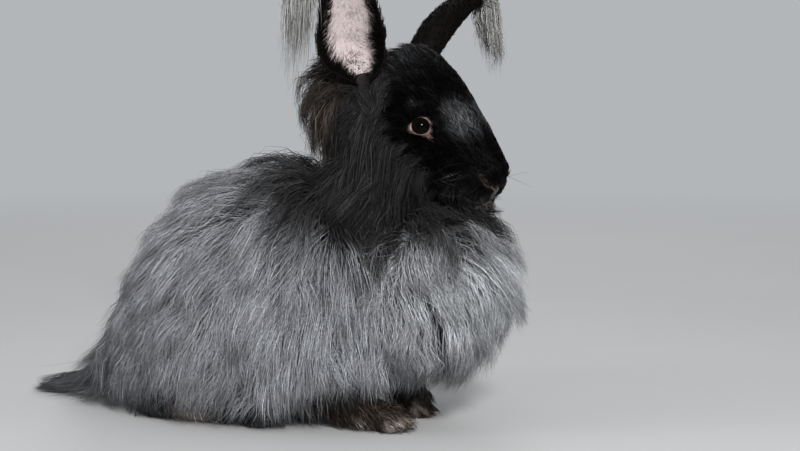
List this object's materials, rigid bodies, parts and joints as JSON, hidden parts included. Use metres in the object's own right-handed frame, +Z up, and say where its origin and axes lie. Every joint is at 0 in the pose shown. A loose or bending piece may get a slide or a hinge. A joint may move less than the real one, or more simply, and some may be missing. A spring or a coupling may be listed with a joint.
{
  "type": "angora rabbit",
  "caption": "Long-haired rabbit sitting on the floor with its head turned a little, its coat in overlapping flat locks and tassels at its ears.",
  "frame": {"origin": "on the floor, under the middle of the rabbit's bounding box", "axes": "+X along the body from tail to chest, +Y to the rabbit's left, +Z up"},
  "size_m": [0.3738, 0.2124, 0.3427],
  "materials": {
    "flank_wool": "matte",
    "mane_wool": "matte",
    "bib_wool": "matte",
    "face_fur": "satin",
    "foot_fur": "matte",
    "eye": "gloss"
  },
  "bodies": {
    "root": {"torso": "flank_wool", "neck": "mane_wool", "chest": "bib_wool", "tail": "mane_wool", "head": "face_fur", "ear_right": "face_fur", "ear_left": "face_fur", "eye_right": "eye", "eye_left": "eye", "foreleg_right": "foot_fur", "foreleg_left": "foot_fur", "hindleg_right": "foot_fur", "hindleg_left": "foot_fur"}
  },
  "joints": []
}
